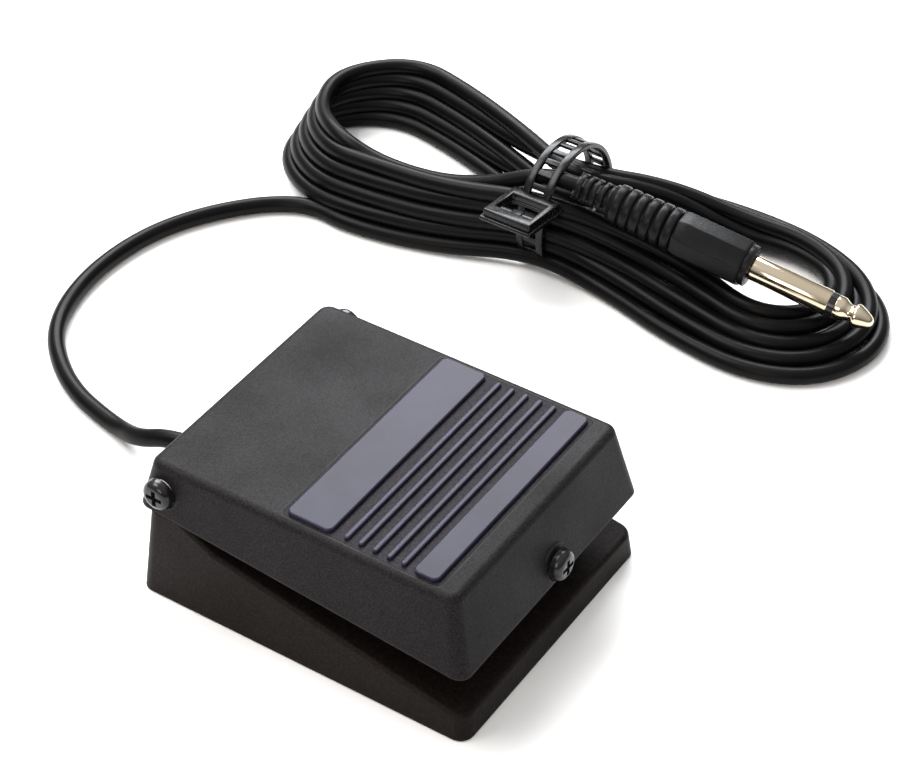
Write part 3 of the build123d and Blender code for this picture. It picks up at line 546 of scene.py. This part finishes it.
cord = {
    "diameter": 4.2,
    "exit": (0, 54.4, 9.0),
    "lead": [
        (0, 54.4, 9), (-0.6, 59.5, 8.8), (-1.6, 67, 5.6), (1.2, 74.8, 2.4), (3.0, 82.5, 2.1),
        (5.5, 91, 2.1), (10.5, 100, 2.1), (19, 109.4, 2.1), (30, 114.8, 2.1), (43, 117.2, 2.1), (57, 116.4, 2.1),
        (69, 112.8, 2.1), (80, 106.2, 2.1), (89.5, 97.6, 2.1), (94.5, 88, 2.1)],
    "turns": 5,
    # x, y, z on the first turn; change per turn; extra x and z on every second turn
    "stations": [
        (92.8, 76, 2.1, 2.5, 0, 3.2, 0, 0),
        (97.4, 54, 2.1, 1.5, 0, 3.5, 0.8, 0),
        (107.4, 31, 3.5, 0.3, 0, 3.85, 1.2, 0),
        (105.8, 10, 2.1, 2.6, 0, 2.6, 0.4, 0),
        (99.5, -12, 2.1, 4.4, 0.3, 1.4, 0.2, 0),
        (97.2, -34, 2.1, 3.7, 2.2, 1.3, 0, 0),
        (105.5, -50, 2.1, 2.8, 3.6, 1.1, 0, 0.3),
        (123.0, -56.0, 2.1, 1.35, 4.1, 0.7, 0, 1.2),
        (138.0, -48.0, 2.1, 0.3, 3.35, 0.5, 0, 2.6),
        (144.6, -31, 2.1, -0.35, 2.2, 0.5, 0.9, 3.4),
        (147.6, -9, 2.1, -1.7, 0, 0.5, 0.9, 3.3),
        (143.5, 12, 2.6, -1.2, 0, 1.8, 1.0, 2.4),
        (120.0, 31, 3.5, 1.3, 0, 2.9, 7.5, 0.6),
        (128.5, 52, 2.1, 2.0, 0, 2.8, 1.0, 0),
        (135.5, 74, 2.1, 2.2, 0, 2.8, 0, 0),
        (138.5, 94, 2.1, 2.3, -0.4, 2.9, 0, 0),
        (124.0, 109.5, 2.1, 2.2, -0.7, 2.9, 0, 0),
        (107.5, 106.5, 2.9, 2.2, -1.2, 2.9, 0, 0),
        (96.2, 92.5, 4.4, 2.4, -1.0, 3.1, 0, 0)],
    "tail": [
        (106.2, 76, 13.0), (106.8, 58, 13.8), (109.6, 44, 17.4), (112.6, 34, 22.0), (113.7, 26.5, 23.3),
        (114.4, 19.0, 22.15)],
    "length": 2.0,
}


def cordRoute():
    points = list(cord["lead"])
    for turn in range(cord["turns"]):
        odd = turn % 2
        for x, y, z, alongX, alongY, alongZ, oddX, oddZ in cord["stations"]:
            points.append((
                x + alongX * turn + oddX * odd,
                y + alongY * turn,
                z + alongZ * turn + oddZ * odd))
    return points + cord["tail"]


def makeCord(route):
    data = bpy.data.curves.new("cord", "CURVE")
    data.dimensions = "3D"
    data.bevel_depth = cord["diameter"] / 2 * mm
    data.bevel_resolution = 8
    data.resolution_u = 10
    data.use_fill_caps = True
    spline = data.splines.new("NURBS")
    spline.points.add(len(route) - 1)
    for point, place in zip(spline.points, route):
        point.co = (*(Vector(place) * mm), 1)
    spline.order_u = 3
    spline.use_endpoint_u = True
    piece = bpy.data.objects.new("cord", data)
    bpy.context.scene.collection.objects.link(piece)
    data.materials.append(materials["cord"])
    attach(piece, "base")
    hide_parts("cord_lead", "cord_hank")
    return piece


cordPiece = makeCord(cordRoute())
print("cord made:", len(cordRoute()), "points")


# cord tie: a ladder strap round the waist of the winding, and a head with a window and a pawl

tie = {
    "y": (27.0, 34.5),
    "thickness": 1.3,
    "loop": [
        (108, 1.3), (134, 1.3), (137.5, 6), (136.6, 14), (131, 22.5), (122, 26.4), (112.5, 24.8),
        (106.5, 18.5), (105.2, 8)],
    "rungs": 27,
    "railWidth": 1.9,
    "rungSize": (1.6, 0.85),
    "headCentre": Vector((101.0, 30.75, 20.0)),
    "headSize": (16.0, 14.3, 3.0),
    "window": (8.0, 10.0),
    "slope": -0.14,
}


def smoothLoop(points, rounds=4):
    # cut the corners of a closed outline again and again, which leaves a smooth curve
    for _ in range(rounds):
        softened = []
        for first, second in zip(points, points[1:] + points[:1]):
            softened.append(first.lerp(second, 0.25))
            softened.append(first.lerp(second, 0.75))
        points = softened
    return points


def evenLoop(points, count):
    # the same closed outline with evenly spaced points
    closed = points + points[:1]
    lengths = [0]
    for first, second in zip(closed, closed[1:]):
        lengths.append(lengths[-1] + (second - first).length)
    even = []
    segment = 0
    for index in range(count):
        wanted = lengths[-1] * index / count
        while lengths[segment + 1] < wanted:
            segment += 1
        share = (wanted - lengths[segment]) / (lengths[segment + 1] - lengths[segment])
        even.append(closed[segment].lerp(closed[segment + 1], share))
    return even


def loopNormals(points):
    normals = []
    for index, _ in enumerate(points):
        tangent = points[(index + 1) % len(points)] - points[index - 1]
        normals.append(Vector((tangent.y, -tangent.x)).normalized())
    return normals


def stripInto(build, line, normals, low, high, yLow, yHigh):
    # band along the loop, from low to high above it and from yLow to yHigh across
    rings = []
    for point, normal in zip(line, normals):
        corners = [(low, yLow), (high, yLow), (high, yHigh), (low, yHigh)]
        rings.append([
            build.verts.new(Vector((point.x + normal.x * out, y, point.y + normal.y * out)) * mm)
            for out, y in corners])
    for first, second in zip(rings, rings[1:] + rings[:1]):
        for corner in range(4):
            following = (corner + 1) % 4
            build.faces.new((first[corner], first[following], second[following], second[corner]))


def makeTieStrap():
    line = evenLoop(smoothLoop([Vector(point) for point in tie["loop"]]), tie["rungs"] * 6)
    normals = loopNormals(line)
    build = bmesh.new()
    low, high = tie["y"]
    rungLength, rungDepth = tie["rungSize"]
    stripInto(build, line, normals, 0.0, tie["thickness"], low, low + tie["railWidth"])
    stripInto(build, line, normals, 0.0, tie["thickness"], high - tie["railWidth"], high)
    for rung in range(tie["rungs"]):
        index = rung * 6 + 3
        centre = line[index] + normals[index] * 0.55
        tangent = Vector((normals[index].y, -normals[index].x))
        turned = Matrix((
            (tangent.x, 0, normals[index].x), (0, 1, 0), (tangent.y, 0, normals[index].y))).to_4x4()
        place = Matrix.Translation(Vector((centre.x, sum(tie["y"]) / 2, centre.y)) * mm) @ turned
        size = Matrix.Diagonal((rungLength * mm, (high - low - 1.6) * mm, rungDepth * mm, 1))
        bmesh.ops.create_cube(build, size=1, matrix=place @ size)
    piece = newPiece("tieStrap", meshFrom(build), materials["tie"], "base")
    softenEdges(piece, 0.25, 3, 40)
    return piece


def frameInto(build, place, outer, inner, low, high):
    # rectangular frame with a window, as one closed body
    loops = []
    for size, z in ((outer, low), (outer, high), (inner, high), (inner, low)):
        corners = [(-1, -1), (1, -1), (1, 1), (-1, 1)]
        loops.append([
            build.verts.new(place @ Vector((x * size[0] / 2, y * size[1] / 2, z))) for x, y in corners])
    for first, second in zip(loops, loops[1:] + loops[:1]):
        for corner in range(4):
            following = (corner + 1) % 4
            build.faces.new((first[corner], first[following], second[following], second[corner]))


def makeTieHead():
    tilt = Matrix.Rotation(-tie["slope"], 4, "Y")
    place = Matrix.Translation(tie["headCentre"] * mm) @ tilt @ Matrix.Scale(mm, 4)
    build = bmesh.new()
    width, depth, height = tie["headSize"]
    window = tie["window"]
    # lower lip, then the body, drawn in towards its top
    frameInto(build, place, (width, depth), window, -height / 2, -height / 2 + 1.1)
    frameInto(build, place, (width - 1.3, depth - 1.3), window, -height / 2 + 1.0, height / 2)
    # pawl in the window
    for size, along in (((1.6, 10.6, 1.2), (-2.0, 0, -0.2)), ((3.4, 3.2, 0.9), (-2.6, 0, 0.2))):
        block = Matrix.Translation(along) @ Matrix.Diagonal((*size, 1))
        bmesh.ops.create_cube(build, size=1, matrix=place @ block)
    piece = newPiece("tieHead", meshFrom(build), materials["tie"], "base")
    softenEdges(piece, 0.55, 4, 40)
    return piece


tieStrap = makeTieStrap()
tieHead = makeTieHead()
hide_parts("cable_tie")
print("tie made")


# return spring: it shortens with the pedal, so it is made again here

spring = {
    "centre": (0, -14.0),
    "low": 14.05,
    "high": 32.95,
    "radius": 5.6,
    "wire": 1.2,
    "turns": 7,
    "closing": -0.175,
    "seat": 13.4,
    "keep": 0.735,
}


def makeSpring():
    build = bmesh.new()
    middleX, middleY = spring["centre"]
    steps = spring["turns"] * 40
    around = 12
    rings = []
    height = spring["high"] - spring["low"]
    upward = Vector((0, 0, 1))
    for step in range(steps + 1):
        share = step / steps
        turn = 2 * pi * spring["turns"] * share
        # the end coils close up
        rise = share + spring["closing"] / spring["turns"] * sin(2 * pi * share)
        outward = Vector((cos(turn), sin(turn), 0))
        centre = Vector((middleX, middleY, spring["low"] + height * rise)) + outward * spring["radius"]
        ring = []
        for corner in range(around):
            angle = 2 * pi * corner / around
            offset = (outward * cos(angle) + upward * sin(angle)) * spring["wire"] / 2
            ring.append(build.verts.new((centre + offset) * mm))
        rings.append(ring)
    for first, second in zip(rings, rings[1:]):
        for corner in range(around):
            following = (corner + 1) % around
            build.faces.new((first[corner], first[following], second[following], second[corner]))
    build.faces.new(rings[0])
    build.faces.new(rings[-1])
    piece = newPiece("returnSpring", meshFrom(build), materials["spring"], "base")
    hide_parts("return_spring")
    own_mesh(piece)
    return piece


makeSpring()
print("spring made")


# floor and light

studio = {
    "floorSize": 6.0,
    "floorColour": (0.93, 0.93, 0.925),
    "world": (1.0, 1.0, 1.0),
    "worldStrength": (0.1, 0.95),
    # place, aim, size, power, colour
    "lamps": [
        ((0.72, 0.50, 0.74), (0.04, 0.02, 0.02), (0.75, 0.5), 20, (0.94, 0.965, 1.0)),
        ((-0.10, 0.55, 1.05), (0.04, 0.02, 0.02), (0.8, 0.5), 12, (1.0, 0.985, 0.965)),
        ((-0.80, -0.10, 0.50), (0.04, 0.0, 0.02), (0.4, 0.4), 2.5, (1.0, 0.90, 0.82)),
    ],
}


def makeStudio():
    build = bmesh.new()
    bmesh.ops.create_grid(build, x_segments=1, y_segments=1, size=studio["floorSize"] / 2)
    floor = bpy.data.objects.new("floor", meshFrom(build, False))
    bpy.context.scene.collection.objects.link(floor)
    material, tree, shader = nodeMaterial("floorPaper")
    shader.inputs["Base Color"].default_value = (*studio["floorColour"], 1)
    shader.inputs["Roughness"].default_value = 0.9
    shader.inputs["Specular IOR Level"].default_value = 0.1
    floor.data.materials.append(material)
    world = bpy.data.worlds.new("studioWorld")
    world.use_nodes = True
    tree = world.node_tree
    background = tree.nodes["Background"]
    background.inputs["Color"].default_value = (*studio["world"], 1)
    # bright overhead and dim towards the horizon
    coords = tree.nodes.new("ShaderNodeTexCoord")
    split = tree.nodes.new("ShaderNodeSeparateXYZ")
    tree.links.new(coords.outputs["Generated"], split.inputs["Vector"])
    tree.links.new(mapRange(tree, split.outputs["Z"], 0.05, 0.9, *studio["worldStrength"]),
                   background.inputs["Strength"])
    bpy.context.scene.world = world
    for index, (place, aim, size, power, colour) in enumerate(studio["lamps"]):
        data = bpy.data.lights.new(f"softbox{index}", "AREA")
        data.shape = "RECTANGLE"
        data.size, data.size_y = size
        data.energy = power
        data.color = colour
        lamp = bpy.data.objects.new(f"softbox{index}", data)
        bpy.context.scene.collection.objects.link(lamp)
        lamp.location = place
        lamp.rotation_euler = (Vector(aim) - Vector(place)).to_track_quat("-Z", "Y").to_euler()


makeStudio()
bpy.context.scene.view_settings.view_transform = "Standard"
print("studio lit")
